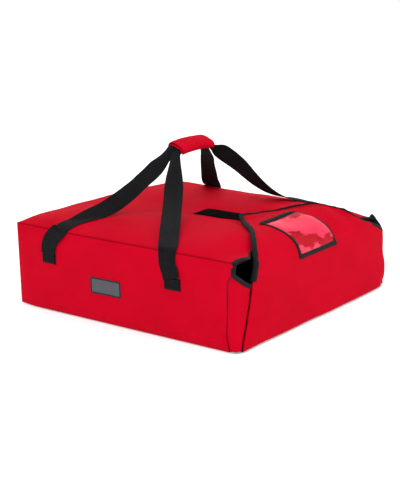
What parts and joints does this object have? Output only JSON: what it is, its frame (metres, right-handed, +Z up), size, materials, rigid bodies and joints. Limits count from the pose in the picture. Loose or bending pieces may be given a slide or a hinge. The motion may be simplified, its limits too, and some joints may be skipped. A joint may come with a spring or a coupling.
{
  "type": "pizza delivery bag",
  "caption": "Soft insulated box-shaped carrying bag with a fold-over front flap, joined webbing handles and a clear ticket pocket.",
  "frame": {"origin": "middle of the base's underside, on the surface that the bag stands on", "axes": "-Y is the front, where the mouth and the flap are; -X is the side with the label patch; +Z is up"},
  "size_m": [0.525, 0.552, 0.3228],
  "materials": {
    "red_nylon": "woven nylon",
    "foam": "open-cell foam",
    "black_liner": "coated nylon",
    "binding": "grosgrain tape",
    "webbing": "polypropylene webbing",
    "loop_tape": "brushed loop tape",
    "hook_tape": "hook tape",
    "clear_vinyl": "clear soft vinyl",
    "label": "woven patch, bare"
  },
  "bodies": {
    "bag": {"top_cover": "red_nylon", "base_cover": "red_nylon", "back_cover": "red_nylon", "left_cover": "red_nylon", "right_cover": "red_nylon", "top_foam": "foam", "base_foam": "foam", "back_foam": "foam", "left_foam": "foam", "right_foam": "foam", "top_liner": "black_liner", "base_liner": "black_liner", "back_liner": "black_liner", "left_liner": "black_liner", "right_liner": "black_liner", "mouth_binding": "binding", "closure_loop_strip": "loop_tape", "label_patch": "label", "strap_tab_front_left": "webbing", "strap_tab_front_right": "webbing", "strap_tab_rear_left": "webbing", "strap_tab_rear_right": "webbing", "strap_front_left": "webbing", "strap_front_right": "webbing", "strap_rear_left": "webbing", "strap_rear_right": "webbing", "gusset_left": "red_nylon", "gusset_right": "red_nylon", "gusset_binding_left": "binding", "gusset_binding_right": "binding"},
    "flap_lower": {"flap_lower_cover": "red_nylon", "flap_lower_foam": "foam", "flap_lower_liner": "black_liner"},
    "flap_upper": {"flap_upper_cover": "red_nylon", "flap_upper_foam": "foam", "flap_upper_liner": "black_liner", "flap_binding": "binding", "closure_hook_strip": "hook_tape", "ticket_window": "clear_vinyl", "ticket_binding": "binding"},
    "grip": {"grip_sleeve": "red_nylon", "grip_pad": "foam", "grip_loop_strip": "loop_tape", "strap_front_middle": "webbing", "strap_rear_middle": "webbing"},
    "grip_leaf": {"grip_leaf": "red_nylon", "grip_hook_strip": "hook_tape"}
  },
  "joints": [
    {"name": "flap_lower_hinge", "type": "hinge", "parent": "bag", "child": "flap_lower", "pos_m": [0, -0.278, 0.001], "axis": [1, 0, 0], "range_deg": [0, 40], "deforming": ["gusset_left", "gusset_right", "gusset_binding_left", "gusset_binding_right"]},
    {"name": "flap_upper_hinge", "type": "hinge", "parent": "flap_lower", "child": "flap_upper", "pos_m": [0, -0.278, 0.112], "axis": [1, 0, 0], "range_deg": [0, 140]},
    {"name": "grip_drop", "type": "slide", "parent": "bag", "child": "grip", "axis": [0, 0, -1], "range_m": [0, 0.12], "deforming": ["strap_front_left", "strap_front_right", "strap_rear_left", "strap_rear_right"]},
    {"name": "grip_leaf_hinge", "type": "hinge", "parent": "grip", "child": "grip_leaf", "pos_m": [0, 0.0465, 0.32215], "axis": [-1, 0, 0], "range_deg": [0, 120]}
  ]
}
